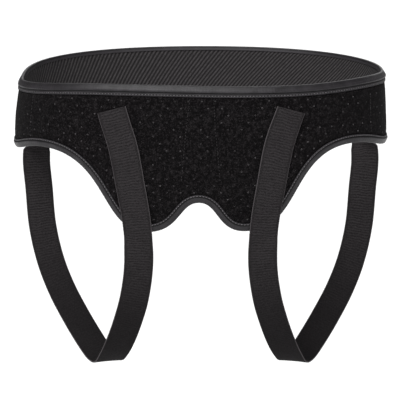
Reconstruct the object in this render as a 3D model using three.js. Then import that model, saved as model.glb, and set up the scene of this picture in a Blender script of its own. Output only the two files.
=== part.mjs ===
// A hernia belt: a closed hip band whose front panel runs down into two lobes over the groins,
// bound with tape along its rim and its lower edge, with two elastic leg straps.
// Millimetres, +Z up. The origin is the middle of the hips at the height where the band grips.
// The front of the belt faces -Y and the wearer's right side is at -X.
import * as THREE from 'three';

// Hip curve, seen from above
const HIP_WIDTH = 391.4;
const HIP_DEPTH = 248;
const HIP_EXPONENT = 2.25; // 2 is an ellipse, and more is squarer

// Heights above and below the hip line
const FRONT_RIM_HEIGHT = 38.3;
const BACK_RIM_RISE = 17.6; // how far the back of the rim stands above its front
const SIDE_EDGE_DEPTH = 31.3;
const LOBE_DROP = 77.5; // how far the lobes hang below the lower edge at the sides

// How the wall leans
const BAND_FLARE = 5; // wider at the lower edge than at the rim, over the band's height
const FLARE_END = 0.5; // share of that height below the hip line where the flare stops growing
const RIM_SHIFT = 1.6; // the rim sits this far towards the wearer's left
const LOBE_TUCK = 9; // the lobes curve in towards the groins by this much
const PANEL_PUFF = 1.1; // the outer fabric stands proud between the bindings
const PUFF_MARGIN = 0.9; // and lies flat this far beyond a binding

// Layers of the wall
const SHELL_THICKNESS = 2.4;
const LINING_THICKNESS = 1.5;
const CLEARANCE = 0.3;
const CURVE_CLEARANCE = 0.2; // more room where flat facets meet inside a curve

// Binding tape
const TAPE_THICKNESS = 0.9;
const TAPE_FOLD = 1.4; // height of the rounded fold over the edge
const TOP_TAPE_WIDTH = 9.4;
const TOP_TAPE_INSIDE = 2.8; // its short leg, so that the lining shows almost up to the rim
const BOTTOM_TAPE_WIDTH = 6.8;
const BOTTOM_TAPE_INSIDE = 6.8;

// Leg straps and the hook fastener under their front ends
const STRAP_WIDTH = 30;
const STRAP_THICKNESS = 1.6;
const STRAP_DEPTH = 265; // the lowest point of a strap below the hip line
const STRAP_FREE_BELOW = 6; // a strap follows the wall's line this far below the lower edge
const STRAP_RELEASE = 26; // and leaves it over this height in front
const BACK_RELEASE = 13; // and over this height at the back
const STEP_RUN = 14; // height over which it comes from the binding back to the lining
const HOOK_WIDTH = 26;
const HOOK_THICKNESS = 1.2;
const HOOK_LENGTH = 84;
const HOOK_INSET = 1.5; // from the end of the strap

// Fineness of the solids
const FRONT_STEP = 8;
const BACK_STEP = 11;
const FINE_REACH = 185; // girth each side of the front's middle that gets the fine step
const STRAP_STEPS = 54;
const STRAP_CELLS = 3;
const FOLD_FACETS = 3;
const WALL_ROWS = 3; // between the bindings
const PLAN_SAMPLES = 1440;
const EASING_HALVINGS = 40;
const SLOPE_SPAN = 1;

const COLOURS = {
  fabric: { color: 0x1c1a1b, roughness: 0.95, metalness: 0 },
  lining: { color: 0x3b393a, roughness: 0.85, metalness: 0 },
  tape: { color: 0x38363a, roughness: 0.55, metalness: 0 },
  webbing: { color: 0x2d2b2c, roughness: 0.8, metalness: 0 },
  hook: { color: 0x161516, roughness: 0.7, metalness: 0 },
};

// The rim from the back's middle, round the wearer's right side and front, to the back again.
// around: share of half the girth from the front's middle, rise: share of BACK_RIM_RISE above
// FRONT_RIM_HEIGHT, before and after: how long the curve stays level on either side.
const RIM = [
  { around: -1, rise: 1, before: 0.6, after: 0.8 },
  { around: -0.47, rise: -0.22, before: 0.1, after: 0.5 },
  { around: -0.16, rise: 0.06, before: 0.5, after: 0.5 },
  { around: 0.13, rise: -0.03, before: 0.5, after: 0.5 },
  { around: 0.43, rise: 0.26, before: 0.4, after: 0.29 },
  { around: 1, rise: 1, before: 0.61, after: 0.6 },
];

// The lower edge: side, leg curve, lobe, centre arch, lobe, leg curve, side, back.
// drop: share of LOBE_DROP below SIDE_EDGE_DEPTH.
const LOWER_EDGE = [
  { around: -1, drop: 0.03, before: 0.4, after: 0.4 },
  { around: -0.46, drop: 0.03, before: 0.4, after: 0.4 },
  { around: -0.335, drop: -0.07, before: 0.4, after: 0.72 },
  { around: -0.109, drop: 1, before: 0.43, after: 0.63 },
  { around: -0.004, drop: 0.59, before: 0.39, after: 0.45 },
  { around: 0.088, drop: 0.985, before: 0.59, after: 0.52 },
  { around: 0.318, drop: -0.13, before: 0.67, after: 0.4 },
  { around: 0.46, drop: -0.02, before: 0.4, after: 0.4 },
  { around: 1, drop: 0.03, before: 0.4, after: 0.4 },
];

// The middle line of the strap on the wearer's right, from its front end, down, under and up to
// the back. x: share of half the hip width, y: share of half the hip depth, z: share of
// STRAP_DEPTH. yaw and tilt, in degrees, turn the width of the strap away from straight across.
const STRAP_LINE = [
  { x: -0.467, y: -0.96, z: 0.059, yaw: 0, tilt: 16 },
  { x: -0.397, y: -0.96, z: -0.084, yaw: 0, tilt: 15 },
  { x: -0.356, y: -0.94, z: -0.24, yaw: 0, tilt: 10 },
  { x: -0.332, y: -0.92, z: -0.362, yaw: 0, tilt: 6 },
  { x: -0.324, y: -0.9, z: -0.48, yaw: 0, tilt: 2 },
  { x: -0.328, y: -0.86, z: -0.576, yaw: 0, tilt: -3 },
  { x: -0.352, y: -0.8, z: -0.692, yaw: 0, tilt: -6 },
  { x: -0.386, y: -0.714, z: -0.786, yaw: 4, tilt: -6 },
  { x: -0.427, y: -0.593, z: -0.877, yaw: 6, tilt: -6 },
  { x: -0.471, y: -0.444, z: -0.955, yaw: 10, tilt: -4 },
  { x: -0.508, y: -0.29, z: -1.001, yaw: 12, tilt: 2 },
  { x: -0.554, y: -0.137, z: -0.995, yaw: 14, tilt: 10 },
  { x: -0.616, y: -0.008, z: -0.946, yaw: 14, tilt: 16 },
  { x: -0.696, y: 0.097, z: -0.86, yaw: 10, tilt: 14 },
  { x: -0.779, y: 0.194, z: -0.754, yaw: 6, tilt: 11 },
  { x: -0.842, y: 0.266, z: -0.641, yaw: 4, tilt: 8 },
  { x: -0.887, y: 0.323, z: -0.502, yaw: 4, tilt: 6 },
  { x: -0.907, y: 0.363, z: -0.341, yaw: 4, tilt: 3 },
  { x: -0.921, y: 0.403, z: -0.231, yaw: 8, tilt: 2 },
  { x: -0.916, y: 0.44, z: -0.17, yaw: 22, tilt: 0 },
  { x: -0.89, y: 0.47, z: -0.1, yaw: 50, tilt: 0 },
  { x: -0.885, y: 0.47, z: 0.04, yaw: 50, tilt: 0 },
];

const HALF_WIDTH = HIP_WIDTH / 2;
const HALF_DEPTH = HIP_DEPTH / 2;
const WALL = SHELL_THICKNESS + CLEARANCE + LINING_THICKNESS;

const radians = THREE.MathUtils.degToRad;
const clamp = THREE.MathUtils.clamp;
const smoothstep = THREE.MathUtils.smoothstep;

// A table of places round the girth, with the length walked up to each
function walkPlan() {
  const places = [];
  let walked = 0;
  for (let i = 0; i <= PLAN_SAMPLES; i += 1) {
    const turn = (i / PLAN_SAMPLES) * 2 * Math.PI - Math.PI;
    const power = 2 / HIP_EXPONENT;
    const x = HALF_WIDTH * Math.sign(Math.sin(turn)) * Math.abs(Math.sin(turn)) ** power;
    const y = -HALF_DEPTH * Math.sign(Math.cos(turn)) * Math.abs(Math.cos(turn)) ** power;
    const last = places[places.length - 1];
    walked += last ? Math.hypot(x - last.x, y - last.y) : 0;
    places.push({ x, y, walked });
  }
  return places;
}

const PLAN = walkPlan();
const GIRTH = PLAN[PLAN_SAMPLES].walked;
const HALF_GIRTH = GIRTH / 2;

// Brings a length round the girth, from the front's middle, into -HALF_GIRTH to HALF_GIRTH
function wrapped(around) {
  return around - GIRTH * Math.floor((around + HALF_GIRTH) / GIRTH);
}

// The place on the hip curve, and the way straight out of it there
function planAt(around) {
  const target = wrapped(around) + HALF_GIRTH;
  let low = 0;
  let high = PLAN_SAMPLES;
  while (high - low > 1) {
    const middle = (low + high) >> 1;
    if (PLAN[middle].walked <= target) low = middle;
    else high = middle;
  }
  const a = PLAN[low];
  const b = PLAN[high];
  const share = (target - a.walked) / (b.walked - a.walked);
  const before = PLAN[(low + PLAN_SAMPLES - 2) % PLAN_SAMPLES];
  const after = PLAN[(high + 2) % PLAN_SAMPLES];
  const out = new THREE.Vector2(after.y - before.y, before.x - after.x).normalize();
  return { x: a.x + (b.x - a.x) * share, y: a.y + (b.y - a.y) * share, out };
}

// The length round the girth of the place on the hip curve that lies nearest
function aroundNear(x, y) {
  let best = PLAN[0];
  for (const place of PLAN) {
    if (Math.hypot(place.x - x, place.y - y) < Math.hypot(best.x - x, best.y - y)) best = place;
  }
  return best.walked - HALF_GIRTH;
}

// A curve that is level at each row of a table, and eases from row to row
function easedCurve(rows, heightOf) {
  return (around) => {
    const share = wrapped(around) / HALF_GIRTH;
    const index = Math.max(1, rows.findIndex((row) => row.around >= share));
    const from = rows[index - 1];
    const to = rows[index];
    const goal = (share - from.around) / (to.around - from.around);
    let low = 0;
    let high = 1;
    for (let i = 0; i < EASING_HALVINGS; i += 1) {
      const t = (low + high) / 2;
      const across = 3 * (1 - t) ** 2 * t * from.after + 3 * (1 - t) * t * t * (1 - to.before) + t ** 3;
      if (across < goal) low = t;
      else high = t;
    }
    return THREE.MathUtils.lerp(heightOf(from), heightOf(to), low * low * (3 - 2 * low));
  };
}

const rimAt = easedCurve(RIM, (row) => FRONT_RIM_HEIGHT + row.rise * BACK_RIM_RISE);
const lowerAt = easedCurve(LOWER_EDGE, (row) => -SIDE_EDGE_DEPTH - row.drop * LOBE_DROP);

// How far the wall stands out from the hip curve at a height
function leanAt(z) {
  const height = FRONT_RIM_HEIGHT + SIDE_EDGE_DEPTH;
  const flare = BAND_FLARE * clamp(-z / height, -1, FLARE_END);
  const tucked = Math.max(0, (-z - SIDE_EDGE_DEPTH) / LOBE_DROP);
  return flare - LOBE_TUCK * tucked * tucked;
}

// A point of the wall, out from its reference face by the given distance
function wallPoint(around, z, distance) {
  const place = planAt(around);
  const reach = leanAt(z) + distance;
  const shift = RIM_SHIFT * clamp(z / FRONT_RIM_HEIGHT, 0, 1);
  return new THREE.Vector3(place.x + shift + place.out.x * reach, place.y + place.out.y * reach, z);
}

// The slope of the rim or lower edge, height per length round the girth
function slopeOf(edgeAt, around) {
  const half = SLOPE_SPAN / 2;
  return (edgeAt(around + half) - edgeAt(around - half)) / SLOPE_SPAN;
}

// Where the outer fabric begins to puff out below the rim and above the lower edge
function puffSpan(around) {
  const above = (BOTTOM_TAPE_WIDTH + PUFF_MARGIN) * Math.hypot(1, slopeOf(lowerAt, around));
  return { top: rimAt(around) - TOP_TAPE_WIDTH - PUFF_MARGIN, bottom: lowerAt(around) + above };
}

// How far the outer fabric stands proud at a place
function puffAt(around, z) {
  const span = puffSpan(around);
  const share = clamp((z - span.bottom) / (span.top - span.bottom), 0, 1);
  return PANEL_PUFF * Math.sqrt(Math.sin(Math.PI * share));
}

// Places round the girth where the walls and bindings have a section
function columns() {
  const list = [];
  const fine = Math.round((2 * FINE_REACH) / FRONT_STEP);
  for (let i = 0; i < fine; i += 1) list.push(-FINE_REACH + (2 * FINE_REACH * i) / fine);
  const rest = GIRTH - 2 * FINE_REACH;
  const coarse = Math.round(rest / BACK_STEP);
  for (let i = 0; i < coarse; i += 1) list.push(FINE_REACH + (rest * i) / coarse);
  return list;
}

const COLUMNS = columns();

// Heights of a wall's rows at one place round the girth
function rowHeights(around) {
  const span = puffSpan(around);
  const heights = [rimAt(around)];
  for (let i = 0; i <= WALL_ROWS; i += 1) {
    heights.push(THREE.MathUtils.lerp(span.top, span.bottom, i / WALL_ROWS));
  }
  return [...heights, lowerAt(around)];
}

// Joins equal sections into one closed solid. A ring closes on itself, and a strip gets end caps.
// The two halves of a section split their faces the same way, so that nested walls stay parallel.
function loft(sections, ring) {
  const count = sections[0].length;
  const positions = sections.flatMap((section) => section.flatMap((p) => [p.x, p.y, p.z]));
  const faces = [];
  const spans = ring ? sections.length : sections.length - 1;
  for (let i = 0; i < spans; i += 1) {
    const next = (i + 1) % sections.length;
    for (let k = 0; k < count; k += 1) {
      const beside = (k + 1) % count;
      const a = i * count + k;
      const b = i * count + beside;
      const c = next * count + beside;
      const d = next * count + k;
      if (k < count / 2) faces.push(a, b, c, a, c, d);
      else faces.push(a, b, d, b, c, d);
    }
  }
  if (!ring) {
    const last = (sections.length - 1) * count;
    for (let k = 0; k < count / 2 - 1; k += 1) {
      const far = count - 1 - k;
      faces.push(k, far, far - 1, k, far - 1, k + 1);
      faces.push(last + k, last + k + 1, last + far - 1, last + k, last + far - 1, last + far);
    }
  }
  return solidOf(positions, faces);
}

// A geometry whose faces all point out
function solidOf(positions, faces) {
  const point = (i) => new THREE.Vector3().fromArray(positions, i * 3);
  let volume = 0;
  for (let i = 0; i < faces.length; i += 3) {
    volume += point(faces[i]).dot(point(faces[i + 1]).cross(point(faces[i + 2])));
  }
  if (volume < 0) faces.reverse();
  const geometry = new THREE.BufferGeometry();
  geometry.setAttribute('position', new THREE.Float32BufferAttribute(positions, 3));
  geometry.setIndex(faces);
  geometry.computeVertexNormals();
  return geometry;
}

// A wall of the band and the front panel, between two distances from the reference face
function wall(outer, inner, puffed) {
  const sections = COLUMNS.map((around) => {
    const heights = rowHeights(around);
    const outside = heights.map((z) => {
      const puff = puffed ? puffAt(around, z) : 0;
      return wallPoint(around, z, outer + puff);
    });
    const inside = heights.map((z) => wallPoint(around, z, inner)).reverse();
    return [...outside, ...inside];
  });
  return loft(sections, true);
}

// Tape folded over the rim (side 1) or the lower edge (side -1), wide outside and inside the wall
function binding(edgeAt, side, width, inside) {
  const legOut = CLEARANCE;
  const legIn = -WALL - CLEARANCE;
  const middle = (legOut + legIn) / 2;
  const halfInner = (legOut - legIn) / 2;
  const halfOuter = halfInner + TAPE_THICKNESS;
  const profile = [{ out: middle + halfOuter, up: -width }];
  for (let i = 0; i <= FOLD_FACETS; i += 1) {
    const turn = (i / FOLD_FACETS) * Math.PI;
    const up = CLEARANCE + TAPE_FOLD * Math.sin(turn);
    profile.push({ out: middle + halfOuter * Math.cos(turn), up });
  }
  profile.push({ out: middle - halfOuter, up: -inside });
  profile.push({ out: middle - halfInner, up: -inside });
  profile.push({ out: middle - halfInner, up: CLEARANCE });
  profile.push({ out: middle + halfInner, up: CLEARANCE });
  profile.push({ out: middle + halfInner, up: -width });
  const sections = COLUMNS.map((around) => {
    const across = new THREE.Vector2(-slopeOf(edgeAt, around), 1).normalize().multiplyScalar(side);
    return profile.map((point) => {
      const shifted = around + across.x * point.up;
      return wallPoint(shifted, edgeAt(around) + across.y * point.up, point.out);
    });
  });
  return loft(sections, true);
}

// The middle line of a strap as evenly spaced places with the turn of its width
function strapPlaces() {
  const places = STRAP_LINE.map((row) => new THREE.Vector3(
    row.x * HALF_WIDTH,
    row.y * HALF_DEPTH,
    row.z * STRAP_DEPTH,
  ));
  const turns = STRAP_LINE.map((row) => new THREE.Vector3(row.yaw, row.tilt, 0));
  const line = new THREE.CatmullRomCurve3(places, false, 'centripetal');
  const turning = new THREE.CatmullRomCurve3(turns, false, 'catmullrom');
  const list = [];
  for (let i = 0; i <= STRAP_STEPS; i += 1) {
    const t = line.getUtoTmapping(i / STRAP_STEPS);
    const turn = turning.getPoint(t);
    list.push({ centre: line.getPoint(t), ahead: line.getTangent(t), yaw: turn.x, tilt: turn.y });
  }
  return list;
}

// Height of the webbing's middle above the wall that it lies on, outside or inside the band
function seatOf(around, z, front, lift) {
  if (front) return puffAt(around, z) + lift;
  const clear = lowerAt(around) + 2 * BOTTOM_TAPE_INSIDE;
  const overTape = 1 - smoothstep(z, clear, clear + STEP_RUN);
  const step = overTape * (CLEARANCE + TAPE_THICKNESS);
  return -(WALL + CLEARANCE + CURVE_CLEARANCE + step + STRAP_THICKNESS / 2);
}

// A point of the strap's middle face, the given distance across from its middle line. The strap is
// worked out on the wearer's right. With side -1 it lies on the wall of the wearer's left, mirrored.
function strapPoint(place, across, lift, side) {
  const { centre, ahead, yaw, tilt } = place;
  const level = radians(yaw);
  const rise = radians(tilt);
  const flat = Math.cos(rise);
  const wide = new THREE.Vector3(Math.cos(level) * flat, Math.sin(level) * flat, Math.sin(rise));
  wide.addScaledVector(ahead, -wide.dot(ahead)).normalize();
  const free = centre.clone().addScaledVector(wide, across);
  const front = centre.y < 0;
  const along = aroundNear(centre.x, centre.y) + (front ? 1 : -1) * across * flat;
  const around = side * along;
  const z = centre.z + across * Math.sin(rise);
  const edge = lowerAt(around) - STRAP_FREE_BELOW;
  const release = front ? STRAP_RELEASE : BACK_RELEASE;
  const held = smoothstep(z, edge - release, edge);
  const lying = wallPoint(around, z, seatOf(around, z, front, lift));
  lying.x *= side;
  return free.lerp(lying, held);
}

// Webbing or hook tape along a run of strap places, on the wearer's right (side 1) or left (-1)
function ribbon(places, width, thickness, lift, side) {
  const grid = places.map((place) => {
    const row = [];
    for (let k = 0; k <= STRAP_CELLS; k += 1) {
      row.push(strapPoint(place, (k / STRAP_CELLS - 0.5) * width, lift, side));
    }
    return row;
  });
  const sections = grid.map((row, i) => {
    const above = grid[Math.max(0, i - 1)];
    const below = grid[Math.min(grid.length - 1, i + 1)];
    const sides = row.map((point, k) => {
      const down = below[k].clone().sub(above[k]);
      const across = row[Math.min(STRAP_CELLS, k + 1)].clone().sub(row[Math.max(0, k - 1)]);
      const out = down.cross(across).normalize().multiplyScalar(thickness / 2);
      return { front: point.clone().add(out), back: point.clone().sub(out) };
    });
    return [...sides.map((s) => s.front), ...sides.map((s) => s.back).reverse()];
  });
  sections.flat().forEach((point) => {
    point.x *= side;
  });
  return loft(sections, false);
}

// The run of places that lies over the hook tape
function hookPlaces(places) {
  const step = places[0].centre.distanceTo(places[1].centre);
  const first = places[0].centre.clone().addScaledVector(places[0].ahead, HOOK_INSET);
  const run = places.slice(1, Math.round(HOOK_LENGTH / step) + 1);
  return [{ ...places[0], centre: first }, ...run];
}

const belt = new THREE.Group();

function add(name, geometry, finish) {
  const mesh = new THREE.Mesh(geometry, new THREE.MeshStandardMaterial(finish));
  mesh.name = name;
  belt.add(mesh);
}

// The band and the front panel
add('outer_shell', wall(0, -SHELL_THICKNESS, true), COLOURS.fabric);
add('lining', wall(-SHELL_THICKNESS - CLEARANCE, -WALL, false), COLOURS.lining);
add('top_binding', binding(rimAt, 1, TOP_TAPE_WIDTH, TOP_TAPE_INSIDE), COLOURS.tape);
add('bottom_binding', binding(lowerAt, -1, BOTTOM_TAPE_WIDTH, BOTTOM_TAPE_INSIDE), COLOURS.tape);

// The leg straps with their hook fasteners
const places = strapPlaces();
const strapLift = CLEARANCE + HOOK_THICKNESS + CLEARANCE + STRAP_THICKNESS / 2;
const hookLift = CLEARANCE + HOOK_THICKNESS / 2;
for (const [name, side] of [['right', 1], ['left', -1]]) {
  const strap = ribbon(places, STRAP_WIDTH, STRAP_THICKNESS, strapLift, side);
  const hook = ribbon(hookPlaces(places), HOOK_WIDTH, HOOK_THICKNESS, hookLift, side);
  add(`${name}_strap`, strap, COLOURS.webbing);
  add(`${name}_hook_patch`, hook, COLOURS.hook);
}

export default belt;
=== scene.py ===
# A soft hernia belt as it keeps its form when worn: perforated loop fabric over thin foam, ribbed
# lining, folded binding tape, and two elastic leg straps held by hook tape in front.
# Metres, +Z up, the front of the belt at -Y and the wearer's right side at -X.
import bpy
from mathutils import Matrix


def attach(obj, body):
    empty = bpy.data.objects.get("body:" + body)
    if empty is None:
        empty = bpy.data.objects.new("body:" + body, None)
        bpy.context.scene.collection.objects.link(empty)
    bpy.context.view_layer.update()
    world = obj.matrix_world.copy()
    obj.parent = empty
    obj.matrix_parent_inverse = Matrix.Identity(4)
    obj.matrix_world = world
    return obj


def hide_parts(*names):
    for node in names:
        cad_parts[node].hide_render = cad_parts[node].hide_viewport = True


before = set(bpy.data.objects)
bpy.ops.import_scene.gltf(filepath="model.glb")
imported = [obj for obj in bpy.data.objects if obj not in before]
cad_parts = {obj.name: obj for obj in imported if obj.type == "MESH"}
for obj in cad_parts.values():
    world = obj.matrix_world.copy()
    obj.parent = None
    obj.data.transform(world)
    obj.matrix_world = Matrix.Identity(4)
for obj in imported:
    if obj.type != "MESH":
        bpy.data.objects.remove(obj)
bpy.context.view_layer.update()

import math

import bpy
import numpy as np
from bpy.props import FloatProperty, FloatVectorProperty, PointerProperty
from bpy.types import Operator, Panel, PropertyGroup

bl_info = {
    "name": "Hernia Belt",
    "version": (1, 0, 0),
    "blender": (4, 5, 0),
    "location": "View3D > Sidebar > Belt",
    "description": "Sews a worn hernia belt with lining, bindings, leg straps and stitching",
    "category": "Add Mesh",
}

MM = 0.001

# Halvings that find a place on an eased curve, and fine places between two rows of a strap.
HALVINGS = 30
STRAP_STEPS = 60

# Height from the edge over which a binding presses the wall thin, from inside to beyond the edge,
# and the share of the wall's thickness that it takes away.
PRESS_FROM = -5.5 * MM
PRESS_TO = 0.5 * MM
PRESSED_SHARE = 0.5

# Distance from a binding at which the outer fabric starts to stand proud.
PUFF_MARGIN = 0.9 * MM

# The two leg straps: 1 where the rows below give one as it is, and -1 where it is mirrored.
SIDES = (("right", 1), ("left", -1))

# Slow waves in the outer fabric: (radians a metre round, radians a metre up, start), and their height.
SOFT_WAVES = ((31, 17, 0), (53, -41, 1.3), (11, 73, 0))
SOFT_HEIGHT = 0.14 * MM

# Slow changes in how full the roll of a tape is: (share, waves round the girth, start).
ROLL_WAVES = ((0.16, 17, 0.8), (0.12, 29, 2.1), (0.1, 47, 0))

# Distances from an edge of the wall at which its surface has rows of its own.
EDGE_ROWS = np.array([0, 1.5, 3, 4.5, 6]) * MM

# Rows across the flat part of a tape and across the groove beside it.
FLAT_ROWS = np.array([0, 0.15, 0.4, 0.8, 1.1, 1.4, 1.7, 2.0, 2.3]) * MM
GROOVE_ROWS = np.array([-0.4, -0.15, 0.1, 0.35, 0.7]) * MM

# The roll of a tape: its height, and how far past the tape's top it comes down.
ROLL_HEIGHT = 1.15 * MM
ROLL_PAST = 1.6 * MM

# Distances from the sewn edge of a tape: where it is drawn in, and where its stitches lie along
# the rim and along the lower edge.
DRAWN_IN = 1.5 * MM
RIM_SEWN = 1.5 * MM
EDGE_SEWN = 1.0 * MM

# Seams on the front: their places round the belt at the rim and at their low end, and the height
# of that end, in millimetres.
SEAMS = ((-12, -19.5, -56), (12, 19.5, -56), (-191, -193, -40), (191, 193, -40))

# Points that a row of stitches is measured by, along an edge, a seam and a strap.
EDGE_POINTS = 4001
SEAM_POINTS = 200
STRAP_POINTS = 60

# Distance over the fold that the weave of a tape is drawn with.
FOLD_RUN = 4.2 * MM

# The rim from the back's middle, round the wearer's right side and front, to the back again:
# (share of half the girth from the front's middle, share of the rise of the back, how long the
# curve stays level before and after).
RIM_ROWS = (
    (-1, 1, 0.6, 0.8),
    (-0.47, -0.22, 0.1, 0.5),
    (-0.16, 0.06, 0.5, 0.5),
    (0.13, -0.03, 0.5, 0.5),
    (0.43, 0.26, 0.4, 0.29),
    (1, 1, 0.61, 0.6),
)

# The lower edge, side, leg curve, lobe, centre arch, lobe, leg curve, side, in the same columns:
# its second one is a share of the drop of the lobes.
LOWER_ROWS = (
    (-1, 0.03, 0.4, 0.4),
    (-0.46, 0.03, 0.4, 0.4),
    (-0.335, -0.07, 0.4, 0.72),
    (-0.109, 1, 0.43, 0.63),
    (-0.004, 0.59, 0.39, 0.45),
    (0.088, 0.985, 0.59, 0.52),
    (0.318, -0.13, 0.67, 0.4),
    (0.46, -0.02, 0.4, 0.4),
    (1, 0.03, 0.4, 0.4),
)

# The middle line of the strap on the wearer's right, from its front end, down, under and up to the
# back: (share of half the hip width, share of half the hip depth, share of the strap's depth, and
# two turns of its width in degrees, level and up).
STRAP_ROWS = (
    (-0.467, -0.96, 0.059, 0, 16),
    (-0.397, -0.96, -0.084, 0, 15),
    (-0.356, -0.94, -0.24, 0, 10),
    (-0.332, -0.92, -0.362, 0, 6),
    (-0.324, -0.9, -0.48, 0, 2),
    (-0.328, -0.86, -0.576, 0, -3),
    (-0.352, -0.8, -0.692, 0, -6),
    (-0.386, -0.714, -0.786, 4, -6),
    (-0.427, -0.593, -0.877, 6, -6),
    (-0.471, -0.444, -0.955, 10, -4),
    (-0.508, -0.29, -1.001, 12, 2),
    (-0.554, -0.137, -0.995, 14, 10),
    (-0.616, -0.008, -0.946, 14, 16),
    (-0.696, 0.097, -0.86, 10, 14),
    (-0.779, 0.194, -0.754, 6, 11),
    (-0.842, 0.266, -0.641, 4, 8),
    (-0.887, 0.323, -0.502, 4, 6),
    (-0.907, 0.363, -0.341, 4, 3),
    (-0.921, 0.403, -0.231, 8, 2),
    (-0.916, 0.44, -0.17, 22, 0),
    (-0.89, 0.47, -0.1, 50, 0),
    (-0.885, 0.47, 0.04, 50, 0),
)


def number(name, default, description, **limits):
    """A number, shown in the sidebar."""
    return FloatProperty(name=name, description=description, default=default, **limits)


def length(name, default, description):
    """A size that is given in millimetres and kept in metres, shown in the sidebar."""
    return number(name, default * MM, description, min=0, unit="LENGTH", precision=5)


def colour(name, default, description):
    """A linear colour, shown in the sidebar."""
    return FloatVectorProperty(
        name=name, description=description, default=default, min=0, max=1, size=3, subtype="COLOR"
    )


class BeltSizes(PropertyGroup):
    """The sizes that the belt is cut and sewn to"""

    hip_width: length("Hip Width", 391.4, "Width of the hip curve")
    hip_depth: length("Hip Depth", 248, "Depth of the hip curve, front to back")
    hip_exponent: number("Hip Exponent", 2.25, "2 is an ellipse, and more is squarer", min=2, max=4)
    rim_height: length("Rim Height", 38.3, "Height of the front of the rim above the hip line")
    rim_rise: length("Rim Rise", 17.6, "How far the back of the rim stands above its front")
    side_depth: length("Side Depth", 31.3, "Depth of the lower edge at the sides below the hip line")
    lobe_drop: length("Lobe Drop", 77.5, "How far the lobes hang below the lower edge at the sides")
    flare: length("Flare", 5, "How much wider the band is at its lower edge")
    rim_shift: length("Rim Shift", 1.6, "How far the rim sits towards the wearer's left")
    lobe_tuck: length("Lobe Tuck", 9, "How far the lobes curve in towards the groins")
    puff: length("Puff", 1.1, "How far the outer fabric stands proud between the bindings")
    shell: length("Shell", 2.4, "Thickness of the outer fabric and its foam")
    lining: length("Lining", 1.5, "Thickness of the lining")
    gap: length("Gap", 0.3, "Clearance between layers")
    curve_gap: length("Curve Gap", 0.2, "More room for the straps inside the curve of the back")
    tape: length("Tape", 0.9, "Thickness of the binding tape")
    tape_fold: length("Tape Fold", 1.4, "Height of the rounded fold of the tape")
    rim_tape: length("Rim Tape", 9.4, "Width of the tape that shows along the rim")
    rim_inside: length("Rim Inside", 2.8, "Width of the rim's tape inside the band")
    rim_flange: length("Rim Flange", 3.9, "Width of the flat, sewn part of the rim's tape")
    edge_tape: length("Edge Tape", 6.8, "Width of the tape that shows along the lower edge")
    edge_inside: length("Edge Inside", 6.8, "Width of the lower tape inside the band")
    edge_flange: length("Edge Flange", 2.3, "Width of the flat, sewn part of the lower tape")
    strap_width: length("Strap Width", 30, "Width of the leg straps")
    strap: length("Strap", 1.6, "Thickness of the leg straps")
    strap_depth: length("Strap Depth", 265, "Depth of the straps' lowest point below the hip line")
    strap_free: length("Strap Free Below", 6, "How far a strap follows the wall below the lower edge")
    front_release: length("Front Release", 26, "Height over which a strap leaves the front")
    back_release: length("Back Release", 13, "Height over which a strap leaves the back")
    step_run: length("Step Run", 14, "Height over which a strap clears the binding at the back")
    hook_width: length("Hook Width", 26, "Width of the hook tape")
    hook: length("Hook", 1.2, "Thickness of the hook tape")
    hook_length: length("Hook Length", 84, "Length of the hook tape")


class BeltDetails(PropertyGroup):
    """The stitches, perforations and ribs"""

    stitch_pitch: length("Stitch Pitch", 3.2, "Distance from stitch to stitch")
    stitch_length: length("Stitch Length", 2.0, "Length of one stitch")
    thread: length("Thread", 0.55, "Width of the sewing thread")
    hole_pitch: length("Hole Pitch", 13.6, "Distance between perforations along a row")
    hole_row: length("Hole Row", 7.1, "Height between rows of perforations")
    hole: length("Hole", 1.25, "Width of a perforation")
    hole_rim: length("Hole Rim", 0.32, "Width of the raised loops round a perforation")
    rib_pitch: length("Rib Pitch", 2.85, "Distance between the ribs of the webbing")
    rib: length("Rib", 0.1, "Height of the ribs of the webbing")
    selvage: length("Selvage", 3.0, "Width of the plain edges of the webbing")
    lining_pitch: length("Lining Pitch", 4.1, "Distance between the ribs of the lining")


class BeltColours(PropertyGroup):
    """The colours of the belt's cloth, tape, webbing and thread"""

    fabric: colour("Fabric", (0.0022, 0.0019, 0.0021), "Outer loop fabric")
    fabric_fluff: colour("Fluff", (0.034, 0.0303, 0.0322), "Raised loops of the outer fabric")
    lining_high: colour("Lining Ribs", (0.077, 0.0712, 0.0738), "Ribs of the lining")
    lining_low: colour("Lining Grooves", (0.013, 0.0118, 0.0124), "Grooves of the lining")
    tape: colour("Binding Tape", (0.0145, 0.0132, 0.0148), "Binding tape")
    webbing: colour("Webbing", (0.03, 0.0272, 0.0285), "Leg straps")
    # Darker still, this colour is also the painted shade where the straps turn under.
    webbing_low: colour("Webbing Grooves", (0.0085, 0.0077, 0.0081), "Grooves and edges of the leg straps")
    hook: colour("Hook Tape", (0.009, 0.0085, 0.009), "Hook tape")
    thread: colour("Thread", (0.16, 0.152, 0.158), "Sewing thread of the bindings")
    dark_thread: colour("Dark Thread", (0.03, 0.0275, 0.029), "Sewing thread of the seams and straps")
    # The hole rim colour is a painted glint of the small dimples at the perforations.
    rim: colour("Hole Rim", (0.15, 0.14, 0.145), "Loops round the perforations")
    floor: colour("Floor", (0.9, 0.9, 0.9), "Studio floor")


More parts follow.
